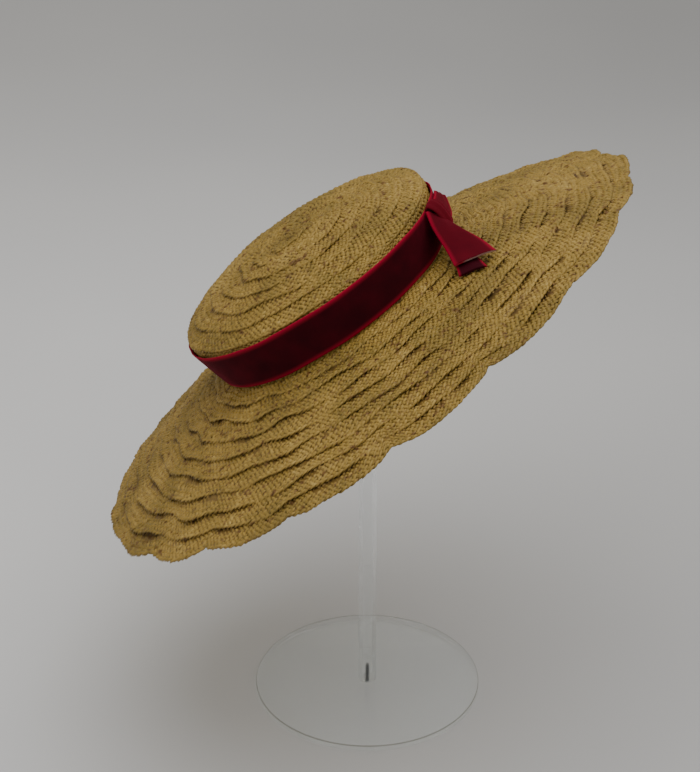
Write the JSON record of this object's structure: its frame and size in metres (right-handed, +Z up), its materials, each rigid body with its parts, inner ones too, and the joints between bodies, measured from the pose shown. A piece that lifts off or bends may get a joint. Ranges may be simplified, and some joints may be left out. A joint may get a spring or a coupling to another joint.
{
  "type": "straw hat on a clear display stand",
  "caption": "Wide-brimmed straw sun hat with a scalloped drooping brim and a velvet ribbon with a bow, held tilted on a clear disc-and-rod hat stand.",
  "frame": {"origin": "centre of the stand's underside, on the rod's axis", "axes": "+Z up along the rod, -Y towards the viewer, the hat's low side towards -X"},
  "size_m": [0.3307, 0.4029, 0.3892],
  "materials": {
    "straw": "plaited straw braid, matt with a slight natural gloss",
    "velvet": "crimson velvet pile, dark face-on and bright at grazing angles",
    "clear_acrylic": "clear polished acrylic",
    "dark_steel": "plain dark steel stud"
  },
  "bodies": {
    "root": {"crown_tip": "straw", "crown_side": "straw", "brim": "straw", "hat_band": "velvet", "bow_knot": "velvet", "bow_upper_tail": "velvet", "bow_lower_tail": "velvet", "bow_far_loop": "velvet", "stand_base": "clear_acrylic", "stand_rod": "clear_acrylic", "stand_plate": "clear_acrylic", "stand_stud": "dark_steel"}
  },
  "joints": []
}
